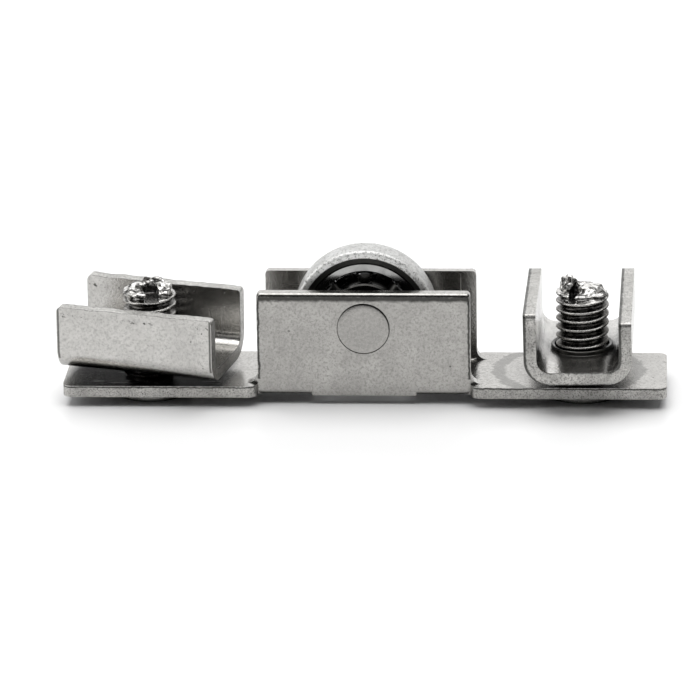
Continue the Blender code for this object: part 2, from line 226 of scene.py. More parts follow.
def turned(name, points, steps, axis="Y"):
    """Draw a profile of (radius, along) points as a wire and spin it a full turn about the axis."""
    def spot(point):
        return Vector((point[0], point[1], 0) if axis == "Y" else (point[0], 0, point[1]))

    bpy.ops.mesh.primitive_plane_add(size=MM)
    piece = take_new(name)
    place(piece, Matrix.Translation(spot(points[0])))
    edit(piece, "VERT", everything)
    bpy.ops.mesh.merge(type="CENTER")
    for before, after in zip(points, points[1:]):
        bpy.ops.mesh.extrude_region_move(
            TRANSFORM_OT_translate={"value": spot(after) - spot(before)})
    bpy.ops.mesh.select_all(action="SELECT")
    bpy.ops.mesh.spin(steps=steps, angle=2 * math.pi, center=(0, 0, 0),
                      axis=(0, 1, 0) if axis == "Y" else (0, 0, 1))
    close_edit()
    tidy_shell(piece)
    return piece


def finish_piece(piece, body, nodes, material, degrees=32.0):
    """Shade a finished piece, give it its metal and hang it on its body."""
    pick(piece)
    bpy.ops.object.shade_smooth_by_angle(angle=math.radians(degrees))
    if not piece.data.materials:
        piece.data.materials.append(material)
    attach(piece, body)
    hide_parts(*nodes)


# ---------------------------------------------------------------- metals

def add_node(tree, kind, settings=None, **inputs):
    made = tree.nodes.new(kind)
    for setting, value in (settings or {}).items():
        setattr(made, setting, value)
    for socket, value in inputs.items():
        feed(tree, made.inputs[socket], value)
    return made


def feed(tree, socket, value):
    """Link a socket to another node's output, or set it to a plain value."""
    if isinstance(value, bpy.types.NodeSocket):
        tree.links.new(value, socket)
    else:
        socket.default_value = value


def math_node(tree, operation, first, second=0.0):
    made = add_node(tree, "ShaderNodeMath", {"operation": operation})
    feed(tree, made.inputs[0], first)
    feed(tree, made.inputs[1], second)
    return made.outputs[0]


def size_of(tree, value):
    return math_node(tree, "ABSOLUTE", value)


def gap(tree, value, level):
    """How far a value is from a level, either way."""
    return size_of(tree, math_node(tree, "SUBTRACT", value, level))


def product(tree, *values):
    result = values[0]
    for value in values[1:]:
        result = math_node(tree, "MULTIPLY", result, value)
    return result


def strongest(tree, *masks):
    result = masks[0]
    for mask in masks[1:]:
        result = math_node(tree, "MAXIMUM", result, mask)
    return result


def flat_length(tree, first, second):
    """Length of a flat vector."""
    squares = [math_node(tree, "POWER", value, 2.0) for value in (first, second)]
    return math_node(tree, "SQRT", math_node(tree, "ADD", *squares))


def split(tree, vector):
    return add_node(tree, "ShaderNodeSeparateXYZ", Vector=vector).outputs


def remap(tree, value, low, high, to_low=0.0, to_high=1.0):
    made = add_node(tree, "ShaderNodeMapRange", {"clamp": True}, Value=value)
    made.inputs["From Min"].default_value = low
    made.inputs["From Max"].default_value = high
    made.inputs["To Min"].default_value = to_low
    made.inputs["To Max"].default_value = to_high
    return made.outputs[0]


def millimetres(tree, stretch=(1, 1, 1), turn=(0, 0, 0), centre=(0, 0, 0)):
    """Object coordinates in millimetres, measured from a centre, turned and stretched."""
    spot = add_node(tree, "ShaderNodeTexCoord").outputs["Object"]
    moved = add_node(tree, "ShaderNodeMapping", Vector=spot)
    moved.inputs["Location"].default_value = tuple(-value for value in centre)
    turned_spot = add_node(tree, "ShaderNodeMapping", Vector=moved.outputs[0])
    turned_spot.inputs["Rotation"].default_value = turn
    turned_spot.inputs["Scale"].default_value = tuple(value / MM for value in stretch)
    return turned_spot.outputs[0]


def noise_value(tree, spot, scale, detail=3.0, roughness=0.5, distortion=0.0):
    made = add_node(tree, "ShaderNodeTexNoise", Vector=spot, Scale=scale, Detail=detail,
                    Roughness=roughness, Distortion=distortion)
    return made.outputs["Fac"]


def new_group(name, inputs, outputs):
    tree = bpy.data.node_groups.new(name, "ShaderNodeTree")
    for socket, value in inputs:
        made = tree.interface.new_socket(name=socket, in_out="INPUT", socket_type="NodeSocketFloat")
        made.default_value = value
    for socket in outputs:
        tree.interface.new_socket(name=socket, in_out="OUTPUT", socket_type="NodeSocketFloat")
    return tree, tree.nodes.new("NodeGroupInput"), tree.nodes.new("NodeGroupOutput")


def plating_group():
    """Plated steel: soft mottle, fine grain, small dark pits and stray hairline scratches."""
    tree, given, made = new_group(
        "plating_detail", [("Grain Scale", 5.0), ("Pit Amount", 0.5)],
        ["Mottle", "Grain", "Pits", "Scratches"])
    spot = millimetres(tree)
    broad = noise_value(tree, spot, 0.35, 3.0, 0.6, 0.4)
    close = noise_value(tree, spot, 1.6, 4.0, 0.65)
    mottle = math_node(tree, "ADD", product(tree, broad, 0.55), product(tree, close, 0.45))
    tree.links.new(remap(tree, mottle, 0.33, 0.67), made.inputs["Mottle"])
    grain = noise_value(tree, spot, 5.0, 3.0, 0.7)
    tree.links.new(given.outputs["Grain Scale"], grain.node.inputs["Scale"])
    tree.links.new(grain, made.inputs["Grain"])
    cells = add_node(tree, "ShaderNodeTexVoronoi", {"feature": "F1"}, Vector=spot, Scale=0.85)
    dot = remap(tree, cells.outputs["Distance"], 0.03, 0.12, 1.0, 0.0)
    chance = add_node(tree, "ShaderNodeSeparateColor", Color=cells.outputs["Color"]).outputs[0]
    rare = math_node(tree, "LESS_THAN", chance, given.outputs["Pit Amount"])
    tree.links.new(product(tree, dot, rare), made.inputs["Pits"])
    lines = []
    for turn, stretch in ((0.35, (0.12, 6.0, 6.0)), (1.9, (6.0, 6.0, 0.12))):
        along = millimetres(tree, stretch, (turn, turn, turn))
        lines.append(remap(tree, noise_value(tree, along, 1.0, 1.0, 0.4), 0.75, 0.81))
    tree.links.new(strongest(tree, *lines), made.inputs["Scratches"])
    return tree


def lathe_group():
    """Turned steel: fine rings left by the lathe, across the axle's direction and across radius."""
    tree, given, made = new_group("lathe_lines", [("Line Scale", 6.0)],
                                  ["Lines", "Smudge", "Radius", "Across"])
    spot = millimetres(tree, centre=AXLE)
    at = split(tree, spot)
    radius = flat_length(tree, at["X"], at["Z"])
    flat = add_node(tree, "ShaderNodeCombineXYZ", X=at["Y"], Y=radius)
    lines = noise_value(tree, flat.outputs[0], 6.0, 4.0, 0.8)
    tree.links.new(given.outputs["Line Scale"], lines.node.inputs["Scale"])
    tree.links.new(lines, made.inputs["Lines"])
    tree.links.new(radius, made.inputs["Radius"])
    tree.links.new(size_of(tree, at["Y"]), made.inputs["Across"])
    smudge = noise_value(tree, spot, 0.5, 4.0, 0.6, 0.6)
    tree.links.new(remap(tree, smudge, 0.35, 0.65), made.inputs["Smudge"])
    return tree


def painted_shade_group():
    """Painted shade: how far a spot lies out of the light, from ambient occlusion, to darken colour
    in crevices and under parts.
    """
    tree, given, made = new_group("crevice_painted_shade", [("Reach", 0.003), ("Start", 0.75)], ["Grime"])
    open_share = add_node(tree, "ShaderNodeAmbientOcclusion", {"samples": 8})
    tree.links.new(given.outputs["Reach"], open_share.inputs["Distance"])
    spread = add_node(tree, "ShaderNodeMapRange", {"clamp": True}, Value=open_share.outputs["AO"])
    tree.links.new(given.outputs["Start"], spread.inputs["From Min"])
    spread.inputs["From Max"].default_value = 0.12
    tree.links.new(spread.outputs[0], made.inputs["Grime"])
    return tree


def paint_shade(tree, colour, reach, start, left):
    """Paint shade into a colour: darken it where ambient occlusion finds the spot out of the light.
    left is the share of it that the deepest spot keeps.
    """
    shade_and_grime = add_node(tree, "ShaderNodeGroup", {"node_tree": GROUPS["shade_and_grime"]}, Reach=reach, Start=start)
    return blend_colours(tree, shade_and_grime.outputs["Grime"], colour, (left, left, left), "MULTIPLY")


def shade(colour, amount):
    return tuple(amount * value for value in colour)


def start_metal(name):
    material = bpy.data.materials.new(name)
    material.use_nodes = True
    tree = material.node_tree
    shader = tree.nodes["Principled BSDF"]
    shader.inputs["Metallic"].default_value = 1.0
    return material, tree, shader


def blend_colours(tree, share, first, second, blend="MIX"):
    """Go from the first colour to the second as the share grows."""
    made = add_node(tree, "ShaderNodeMix", {"data_type": "RGBA", "blend_type": blend})
    tree.links.new(share, made.inputs["Factor"])
    colours = [socket for socket in made.inputs if socket.type == "RGBA"]
    for socket, value in zip(colours, (first, second)):
        feed(tree, socket, (*value, 1.0) if isinstance(value, tuple) else value)
    return [socket for socket in made.outputs if socket.type == "RGBA"][0]


def raise_surface(tree, shader, height, distance):
    bump = add_node(tree, "ShaderNodeBump", Height=height)
    bump.inputs["Distance"].default_value = distance
    tree.links.new(bump.outputs["Normal"], shader.inputs["Normal"])


def own_place(tree):
    """Place on a clip in millimetres, as it was before the clip was turned into position."""
    return add_node(tree, "ShaderNodeAttribute", {"attribute_name": OWN_PLACE}).outputs["Vector"]


def crop_nicks_and_shade(tree, colour):
    """The row of dark nicks under a clip's cropped ear tops, and painted shade on its tapped lip, along
    its ears' outer end edges and along the rear ear's top edge.
    """
    own = own_place(tree)
    at = split(tree, own)
    row = remap(tree, gap(tree, at["Z"], NICK_LEVEL), 0.1, 0.28, 1.0, 0.0)
    nick = remap(tree, noise_value(tree, own, 2.6, 3.0, 0.6), 0.57, 0.62)
    patch = remap(tree, noise_value(tree, own, 0.22, 1.0), 0.45, 0.55)
    # Painted shade: the raised tapped lip round the screw is darkened.
    near = remap(tree, flat_length(tree, at["X"], at["Y"]), 3.6, 3.9, 1.0, 0.0)
    raised = remap(tree, at["Z"], 1.42, 1.5)
    outside = math_node(tree, "GREATER_THAN", size_of(tree, at["Y"]), 5.6)
    # Painted shade: dark lines along the ears' outer end edges and along the rear ear's top edge.
    end_line = remap(tree, gap(tree, size_of(tree, at["X"]), 8.8), 0.06, 0.16, 0.8, 0.0)
    rear_edge = remap(tree, at["Y"], 5.6, 5.75)
    rear_top = remap(tree, at["Z"], 7.3, 7.45, 0.0, 0.9)
    marks = strongest(tree, product(tree, row, nick, patch), product(tree, near, raised, 0.85),
                      product(tree, end_line, outside), product(tree, rear_edge, rear_top))
    return blend_colours(tree, marks, colour, (0.05, 0.05, 0.045))


def sheared_shade_outline(tree, colour):
    """Painted shade: a dark outline along both skins of a clip's cropped sheet, at its rounded cut edges.
    """
    own = own_place(tree)
    at = split(tree, own)
    fold = (CLIP_HALF_WIDTH - CLIP_FOLD) / MM
    out = strongest(tree, math_node(tree, "SUBTRACT", size_of(tree, at["Y"]), fold), 0.0)
    down = strongest(tree, math_node(tree, "SUBTRACT", CLIP_FOLD / MM, at["Z"]), 0.0)
    away = gap(tree, flat_length(tree, out, down), (CLIP_FOLD - CLIP_SHEET / 2) / MM)
    ragged = product(tree, noise_value(tree, own, 1.7, 4.0, 0.7), 0.4)
    line = remap(tree, math_node(tree, "ADD", away, ragged), 0.74, 0.86, 0.0, 0.85)
    return blend_colours(tree, line, colour, (0.04, 0.04, 0.037))


def wing_shade_line(tree, colour):
    """Painted shade: a dark line along the upper edge of the wings' cropped rim, where the edge rounds
    over.
    """
    spot = millimetres(tree)
    at = split(tree, spot)
    ragged = product(tree, noise_value(tree, spot, 0.9, 4.0, 0.7), 0.4)
    level = math_node(tree, "ADD", at["Z"], ragged)
    band = remap(tree, gap(tree, level, STRIP_TOP / MM + 0.05), 0.03, 0.12, 0.95, 0.0)
    side = math_node(tree, "GREATER_THAN", size_of(tree, at["Y"]), STRIP_HALF_WIDTH / MM - 0.4)
    end = math_node(tree, "GREATER_THAN", size_of(tree, at["X"]), STRIP_HALF_LENGTH / MM - 0.4)
    return blend_colours(tree, product(tree, band, strongest(tree, side, end)), colour, PAINTED_SHADE)


def bracket_wear_and_shade(tree, colour):
    """Painted shade on the rolled wall edges and the wings' rim, and the ring that the right clip rubbed
    on its wing.
    """
    spot = millimetres(tree)
    at = split(tree, spot)
    radius = flat_length(tree, math_node(tree, "SUBTRACT", at["X"], SCREW_X / MM - 1.5), at["Y"])
    ragged = product(tree, noise_value(tree, spot, 0.8, 4.0, 0.6), 1.6)
    away = gap(tree, math_node(tree, "ADD", radius, ragged), RUBBED_RING)
    on_wing = math_node(tree, "LESS_THAN", at["Z"], STRIP_TOP / MM + 0.1)
    ring = product(tree, remap(tree, away, 0.5, 0.85, 0.6, 0.0), on_wing)
    colour = blend_colours(tree, ring, colour, (0.12, 0.118, 0.11))
    return wing_shade_line(tree, rollover_shade_line(tree, colour))


def rollover_shade_line(tree, colour):
    """Painted shade: a dark line below the bracket's wall tops and by their ends, where the press rolled
    the edges over.
    """
    spot = millimetres(tree)
    at = split(tree, spot)
    ends = math_node(tree, "SUBTRACT", HOUSING_HALF_LENGTH / MM, size_of(tree, at["X"]))
    below = math_node(tree, "SUBTRACT", WALL_TOP / MM, at["Z"])
    ragged = product(tree, noise_value(tree, spot, 1.1, 4.0, 0.7), 0.5)
    bands = []
    for inset, middle, width in ((below, 0.82, 0.46), (ends, 0.4, 0.17)):
        away = gap(tree, math_node(tree, "ADD", inset, ragged), middle)
        bands.append(remap(tree, away, 0.35 * width, width, 1.0, 0.0))
    outside = math_node(tree, "GREATER_THAN", size_of(tree, at["Y"]), WALL_OUTSIDE / MM - 0.5)
    upright = math_node(tree, "GREATER_THAN", at["Z"], STRIP_TOP / MM + 0.5)
    line = product(tree, strongest(tree, *bands), outside, upright, 0.9)
    return blend_colours(tree, line, colour, PAINTED_SHADE)


def plated_metal(name, dark, light, roughness, grain, marks, pits=0.1, wave=1.0,
                 shade_and_grime=(5.0, 0.66, 0.03), flecks=0.8):
    """Sheet metal with a plated skin. grain is its scale per millimetre and its height.

    marks adds a piece's own wear and painted edge shade to the colour. pits is the share of spots that
    have one, and wave how strongly the skin swells. shade_and_grime is the reach of the painted crevice
    shade, where it starts and what it leaves. flecks is the share of the colour that small dull spots
    keep.
    """
    material, tree, shader = start_metal(name)
    detail = add_node(tree, "ShaderNodeGroup", {"node_tree": GROUPS["plating"]},
                      **{"Grain Scale": grain[0], "Pit Amount": pits})
    colour = blend_colours(tree, detail.outputs["Mottle"], dark, light)
    colour = blend_colours(tree, detail.outputs["Pits"], colour, shade(dark, 0.25))
    fleck = remap(tree, noise_value(tree, millimetres(tree), 0.85 * grain[0], 4.0, 0.8), 0.38, 0.52)
    colour = blend_colours(tree, fleck, shade(dark, flecks), colour)
    colour = marks(tree, colour)
    # Painted shade: darken the colour where ambient occlusion finds the surface out of the light.
    colour = paint_shade(tree, colour, shade_and_grime[0] * MM, shade_and_grime[1], shade_and_grime[2])
    tree.links.new(colour, shader.inputs["Base Color"])
    rough = remap(tree, detail.outputs["Mottle"], 0.0, 1.0, roughness[1], roughness[0])
    scuffed = math_node(tree, "ADD", rough, product(tree, detail.outputs["Scratches"], 0.1))
    tree.links.new(scuffed, shader.inputs["Roughness"])
    height = product(tree, detail.outputs["Grain"], grain[1])
    for output, amount in (("Mottle", 0.5 * wave), ("Pits", -2.5), ("Scratches", -0.3)):
        height = math_node(tree, "ADD", height, product(tree, detail.outputs[output], amount))
    raise_surface(tree, shader, height, SKIN_DEPTH)
    return material


def lathed_metal(name, dark, light, roughness, lines, kept, face=None, metallic=1.0):
    """Turned steel. lines is their scale per millimetre and their height, and kept the share of the
    colour left at the deepest painted crevice shade. face is a dark colour painted as shade on what lies
    inside the tread's radius, and with it the tyre's side faces are painted lighter.
    """
    material, tree, shader = start_metal(name)
    shader.inputs["Metallic"].default_value = metallic
    detail = add_node(tree, "ShaderNodeGroup", {"node_tree": GROUPS["lathe"]}, **{"Line Scale": lines[0]})
    share = math_node(tree, "ADD", product(tree, detail.outputs["Smudge"], 0.7),
                      product(tree, detail.outputs["Lines"], 0.3))
    colour = blend_colours(tree, share, dark, light)
    if face:
        # Painted light: the tyre's side faces, which catch less light than the tread, are lightened
        # towards it.
        rim = remap(tree, detail.outputs["Across"], 1.35, 1.7)
        colour = blend_colours(tree, rim, colour, (0.93, 0.93, 0.91))
        speckle = remap(tree, noise_value(tree, millimetres(tree), 3.2, 4.0, 0.75), 0.36, 0.5)
        colour = blend_colours(tree, speckle, shade(dark, 0.6), colour)
        # Painted shade: the countersunk face inside the tread's radius takes the dark face colour.
        colour = blend_colours(tree, remap(tree, detail.outputs["Radius"], 7.1, 7.2), face, colour)
    # Painted shade from ambient occlusion; kept is what the deepest spot keeps.
    tree.links.new(paint_shade(tree, colour, 2.5 * MM, 0.7, kept), shader.inputs["Base Color"])
    rough = remap(tree, detail.outputs["Smudge"], 0.0, 1.0, roughness[1], roughness[0])
    tree.links.new(rough, shader.inputs["Roughness"])
    raise_surface(tree, shader, product(tree, detail.outputs["Lines"], lines[1]), SKIN_DEPTH)
    return material


def rivet_metal(name, dark, light):
    """The axle's swaged ends: dull and speckled, with a painted shadow crescent where they sit low."""
    material, tree, shader = start_metal(name)
    spot = millimetres(tree, centre=AXLE + Vector((-0.08 * MM, 0, -0.14 * MM)))
    at = split(tree, spot)
    radius = flat_length(tree, at["X"], at["Z"])
    speckle = noise_value(tree, spot, 3.0, 4.0, 0.75)
    colour = blend_colours(tree, remap(tree, speckle, 0.35, 0.6), dark, light)
    ragged = product(tree, noise_value(tree, spot, 1.2, 3.0, 0.6), 0.1)
    # Painted shadow: a dark crescent along the gap round the rivet, widest towards its upper right.
    shadow_crescent = remap(tree, math_node(tree, "ADD", radius, ragged), 2.89, 2.94, 0.0, 0.92)
    colour = blend_colours(tree, shadow_crescent, colour, PAINTED_SHADE)
    tree.links.new(colour, shader.inputs["Base Color"])
    shader.inputs["Roughness"].default_value = 0.27
    raise_surface(tree, shader, speckle, 0.02 * MM)
    return material


def thread_metal(name, side):
    """Screw steel: bright rolled crests over roots painted near-black as shade, chewed end bright and
    dark.
    """
    material, tree, shader = start_metal(name)
    spot = millimetres(tree, centre=Vector((side * SCREW_X, 0, 0)))
    at = split(tree, spot)
    # Painted shade: the thread's roots are near-black and its crests keep the steel's colour.
    clear_of_root_shade = remap(tree, flat_length(tree, at["X"], at["Y"]), 2.72, 2.93)
    shade_and_grime = noise_value(tree, spot, 1.4, 4.0, 0.6)
    colour = blend_colours(tree, clear_of_root_shade, (0.045, 0.043, 0.04), (0.55, 0.54, 0.52))
    streak = remap(tree, shade_and_grime, 0.42, 0.66)
    colour = blend_colours(tree, product(tree, streak, 0.5), colour, (0.3, 0.29, 0.28))
    torn = remap(tree, at["Z"], TORN_FROM / MM, TORN_FROM / MM + 0.8)
    shred = remap(tree, noise_value(tree, spot, 1.0, 2.5, 0.55, 1.2), 0.38, 0.56)
    chewed = blend_colours(tree, shred, (0.05, 0.048, 0.045), (0.7, 0.69, 0.67))
    colour = blend_colours(tree, torn, colour, chewed)
    # Painted shade from ambient occlusion darkens the thread's hollows.
    tree.links.new(paint_shade(tree, colour, 1.6 * MM, 0.55, 0.2), shader.inputs["Base Color"])
    tree.links.new(remap(tree, shade_and_grime, 0.3, 0.7, 0.16, 0.34), shader.inputs["Roughness"])
    grain = noise_value(tree, spot, 5.0, 3.0, 0.6)
    rough_end = product(tree, shred, torn, 0.7)
    raise_surface(tree, shader, math_node(tree, "ADD", grain, rough_end), 0.02 * MM)
    return material


GROUPS = {}


def make_metals():
    GROUPS["plating"] = plating_group()
    GROUPS["lathe"] = lathe_group()
    GROUPS["shade_and_grime"] = painted_shade_group()
    return {
        "plate": plated_metal("nickel_plate", (0.36, 0.352, 0.336), (0.47, 0.46, 0.44), (0.17, 0.26),
                              (4.0, 1.1), bracket_wear_and_shade),
        "sheared": plated_metal("sheared_edge", *SHEARED_STEEL, wing_shade_line, 0.3, 1.6, flecks=0.42),
        "clip_end": plated_metal("clip_sheared_edge", *SHEARED_STEEL, sheared_shade_outline, 0.3, 1.6,
                                 flecks=0.42),
        "clip": plated_metal("clip_plate", (0.5, 0.49, 0.472), (0.62, 0.61, 0.588), (0.17, 0.27),
                             (4.0, 1.2), crop_nicks_and_shade, 0.16, shade_and_grime=(4.5, 0.8, 0.08)),
        # The tread's last colour is painted shade for the tyre's countersunk face.
        "tread": lathed_metal("turned_tread", (0.42, 0.42, 0.41), (0.64, 0.64, 0.63), (0.34, 0.45),
                              (6.0, 1.6), 0.5, (0.035, 0.035, 0.032), 0.35),
        "race": lathed_metal("ground_race", (0.3, 0.3, 0.295), (0.44, 0.44, 0.43), (0.14, 0.26),
                             (9.0, 0.3), 0.1),
        # Painted shade: near-black colours for the cage and the inner race, for the dark inside of the
        # bearing.
        "cage": lathed_metal("shade_dark_cage", (0.03, 0.03, 0.028), (0.07, 0.068, 0.065), (0.2, 0.35),
                             (9.0, 0.3), 0.3),
        "ball": lathed_metal("polished_ball", (0.7, 0.7, 0.7), (0.8, 0.8, 0.8), (0.05, 0.1),
                             (3.0, 0.05), 0.45),
        "rivet": rivet_metal("rivet_face", (0.31, 0.304, 0.29), (0.41, 0.4, 0.383)),
        "left_screw": thread_metal("left_screw_steel", -1),
        "right_screw": thread_metal("right_screw_steel", 1),
    }


# ---------------------------------------------------------------- sheet metal

def folded_sheet(name):
    """A clip's blank, still without thickness: floor at z 0, open at the top, channel along X."""
    bpy.ops.mesh.primitive_plane_add(size=1)
    piece = take_new(name)
    place(piece, Matrix.Diagonal((2 * CLIP_HALF_LENGTH, 2 * CLIP_HALF_WIDTH, 1, 1)))
    edit(piece, "EDGE", lambda edge: abs(abs(edge.verts[0].co.y + edge.verts[1].co.y)
                                         - 2 * CLIP_HALF_WIDTH) < NEAR)
    bpy.ops.mesh.extrude_edges_move(TRANSFORM_OT_translate={"value": (0, 0, CLIP_BLANK_HEIGHT)})
    close_edit()
    edit(piece, "EDGE", lambda edge: all(vert.co.z < NEAR and abs(vert.co.y) > CLIP_HALF_WIDTH - NEAR
                                         for vert in edge.verts))
    bpy.ops.mesh.bevel(offset=CLIP_FOLD, offset_type="OFFSET", segments=10, profile=0.5)
    close_edit()
    for station in range(1, CLIP_STATIONS):
        slice_at(piece, (CLIP_HALF_LENGTH * (2 * station / CLIP_STATIONS - 1), 0, 0), (1, 0, 0))
    edit(piece, "VERT", everything)
    bpy.ops.mesh.normals_make_consistent(inside=False)
    close_edit()
    floor = min(piece.data.polygons, key=lambda face: face.center.z)
    if floor.normal.z > 0:
        edit(piece, "VERT", everything)
        bpy.ops.mesh.flip_normals()
        close_edit()
    return piece


def round_wall_corners(piece, above, half_length, radius, shift=0.0):
    """Round the upper corners of upright walls, where their tops meet their ends."""
    def is_corner(edge):
        first, second = (vert.co for vert in edge.verts)
        across = abs(first.y - second.y) > 0.5 * MM and abs(first.x - second.x) < 0.3 * MM
        at_end = abs(abs(first.x - (shift if first.y > 0 else 0)) - half_length) < 0.35 * MM
        return across and at_end and first.z > above and second.z > above

    edit(piece, "EDGE", is_corner)
    bpy.ops.mesh.bevel(offset=radius, offset_type="OFFSET", segments=5, profile=0.5)
    close_edit()


def settle_shading(piece):
    """Keep large flat faces looking flat beside small rounded edges."""
    use(piece, "WEIGHTED_NORMAL", keep_sharp=True)


def shear_faces(piece, is_sheared, skin, sheared):
    """Give the faces that a press cut through the sheared finish."""
    piece.data.materials.append(skin)
    piece.data.materials.append(sheared)
    for face in piece.data.polygons:
        face.material_index = 1 if is_sheared(face) else 0


# ---------------------------------------------------------------- bracket

def wing_plate(side):
    """One flat wing with rounded shoulders at the housing and a rounded free end."""
    wall_end = HOUSING_HALF_LENGTH
    plate = block("wing", (wall_end, -STRIP_HALF_WIDTH, STRIP_BOTTOM),
                  (STRIP_HALF_LENGTH, STRIP_HALF_WIDTH, STRIP_TOP))
    shoulder = STRIP_HALF_WIDTH - WALL_OUTSIDE
    for at, radius in ((wall_end, shoulder), (STRIP_HALF_LENGTH, 1.0 * MM)):
        edit(plate, "EDGE", lambda edge: abs(edge.verts[0].co.z - edge.verts[1].co.z) > 0.5 * MM
             and abs(edge.verts[0].co.x - at) < NEAR)
        bpy.ops.mesh.bevel(offset=radius, offset_type="OFFSET", segments=8, profile=0.5)
        close_edit()
    edit(plate, "FACE", lambda face: abs(face.calc_center_median().x - wall_end) < NEAR)
    bpy.ops.mesh.extrude_region_move(TRANSFORM_OT_translate={"value": (-0.6 * MM, 0, 0)})
    bpy.ops.transform.resize(value=(1, 0.9, 1), center_override=(wall_end, 0, STRIP_BOTTOM))
    close_edit()
    if side < 0:
        place(plate, Matrix.Rotation(math.pi, 4, "Z"))
    return plate


def wall_foot(side, wall):
    """The small fillet between a wall's end and the wing's top."""
    radius = 1.2 * MM
    inner, outer = sorted((wall * (WALL_INSIDE + CLEAR), wall * (WALL_OUTSIDE - CLEAR)))
    end = HOUSING_HALF_LENGTH + (REAR_WALL_SHIFT * side if wall > 0 else 0)
    foot = block("foot", (end - 0.3 * MM, inner, STRIP_TOP - 0.3 * MM),
                 (end + radius, outer, STRIP_TOP + radius))
    bpy.ops.mesh.primitive_cylinder_add(vertices=48, radius=radius, depth=10 * MM)
    hollow = take_new("hollow")
    place(hollow, Matrix.Translation((end + radius, 0, STRIP_TOP + radius))
          @ Matrix.Rotation(math.pi / 2, 4, "X"))
    carve(foot, hollow)
    if side < 0:
        place(foot, Matrix.Diagonal((-1, 1, 1, 1)))
        tidy_shell(foot)
    return foot


def rivet_outline(grow, overrun):
    slope = (RIVET_RADIUS - AXLE_RADIUS) / SHEET
    tip = WALL_OUTSIDE + overrun
    end = RIVET_RADIUS + grow + slope * overrun
    shank = AXLE_RADIUS + grow
    return [(0, -tip), (end, -tip), (shank, -WALL_INSIDE), (shank, WALL_INSIDE), (end, tip), (0, tip)]


def make_bracket(metals):
    half = HOUSING_HALF_LENGTH
    bracket = block("bracket_pressing", (-half, -WALL_OUTSIDE, STRIP_BOTTOM),
                    (half, WALL_OUTSIDE, WALL_TOP))
    inside = block("inside", (-half - MM, -WALL_INSIDE, STRIP_TOP),
                   (half + MM, WALL_INSIDE, WALL_TOP + MM))
    for shape, radius in ((bracket, FOLD_RADIUS), (inside, INNER_FOLD)):
        level = min(vert.co.z for vert in shape.data.vertices)
        edit(shape, "EDGE", lambda edge: all(abs(vert.co.z - level) < NEAR for vert in edge.verts)
             and abs(edge.verts[0].co.y - edge.verts[1].co.y) < NEAR)
        bpy.ops.mesh.bevel(offset=radius, offset_type="OFFSET", segments=8, profile=0.5)
        close_edit()
    carve(bracket, inside)
    for cut_at in (WALL_INSIDE - 0.4 * MM, WALL_INSIDE):
        slice_at(bracket, (0, cut_at, 0), (0, 1, 0))
    for vert in bracket.data.vertices:
        if vert.co.y > WALL_INSIDE - NEAR:
            vert.co.x += REAR_WALL_SHIFT
    round_wall_corners(bracket, WALL_TOP - 0.2 * MM, HOUSING_HALF_LENGTH, 0.45 * MM, REAR_WALL_SHIFT)

    def rolled_over(edge):
        outside = all(abs(abs(vert.co.y) - WALL_OUTSIDE) < NEAR and vert.co.z > STRIP_TOP
                      for vert in edge.verts)
        return outside and len(edge.link_faces) == 2 and edge.calc_face_angle() > math.radians(40)

    edit(bracket, "EDGE", rolled_over)
    bpy.ops.mesh.bevel(offset=0.42 * MM, offset_type="OFFSET", segments=5, profile=0.5)
    close_edit()
    slot_top = STRIP_TOP + 0.8 * MM
    carve(bracket, block("slot", (-SLOT_HALF_LENGTH, -6 * MM, 0), (SLOT_HALF_LENGTH, 6 * MM, slot_top)))
    for side in (-1, 1):
        inner, outer = sorted((side * (WALL_INSIDE + CLEAR), side * (WALL_OUTSIDE - CLEAR)))
        reach = SLOT_HALF_LENGTH + CLEAR
        carve(bracket, block("wall_edge", (-reach, inner, BRACKET_LOW.z),
                             (reach, outer, slot_top + MM)), "UNION")
        carve(bracket, wing_plate(side), "UNION")
        for wall in (-1, 1):
            carve(bracket, wall_foot(side, wall), "UNION")
    hole = turned("rivet_hole", rivet_outline(CLEAR, 0.5 * MM), 96)
    place(hole, Matrix.Translation(AXLE))
    carve(bracket, hole)
    for side in (-1, 1):
        bpy.ops.mesh.primitive_cylinder_add(vertices=96, radius=SCREW_HOLE_RADIUS, depth=6 * MM,
                                            location=(side * SCREW_X, 0, STRIP_TOP))
        drill = take_new("drill")
        place(drill, drill.matrix_world.copy())
        drill.matrix_world = Matrix.Identity(4)
        carve(bracket, drill)
    edit(bracket, "VERT", everything)
    bpy.ops.mesh.dissolve_limited(angle_limit=math.radians(0.5))
    close_edit()
    ease_edges(bracket, 0.22 * MM)

    def is_sheared(face):
        level = abs(face.normal.z) < 0.3
        rim = face.center.z < STRIP_TOP and (abs(face.center.y) > WALL_OUTSIDE + 0.05 * MM
                                             or abs(face.center.x) > STRIP_HALF_LENGTH - 1.1 * MM)
        wall_end = abs(face.normal.x) > 0.6 and abs(face.center.x) < 14 * MM
        return level and (rim or wall_end)

    shear_faces(bracket, is_sheared, metals["plate"], metals["sheared"])
    finish_piece(bracket, "frame", ["bracket"], metals["plate"])
    settle_shading(bracket)


def make_axle(metals):
    """The riveted axle: its swaged ends are flush, very slightly dished from the rivet set."""
    tip = WALL_OUTSIDE - 0.01 * MM
    half = [(0, tip - 0.05 * MM), (1.2 * MM, tip - 0.045 * MM), (2.2 * MM, tip - 0.02 * MM),
            (RIVET_RADIUS - 0.12 * MM, tip), (RIVET_RADIUS - 0.03 * MM, tip - 0.05 * MM),
            (RIVET_RADIUS - 0.04 * MM, tip - 0.12 * MM), (AXLE_RADIUS, WALL_INSIDE)]
    points = half + [(radius, -along) for radius, along in reversed(half)]
    axle = turned("riveted_axle", points, 96)
    place(axle, Matrix.Translation(AXLE))
    finish_piece(axle, "frame", ["axle_rivet"], metals["rivet"])


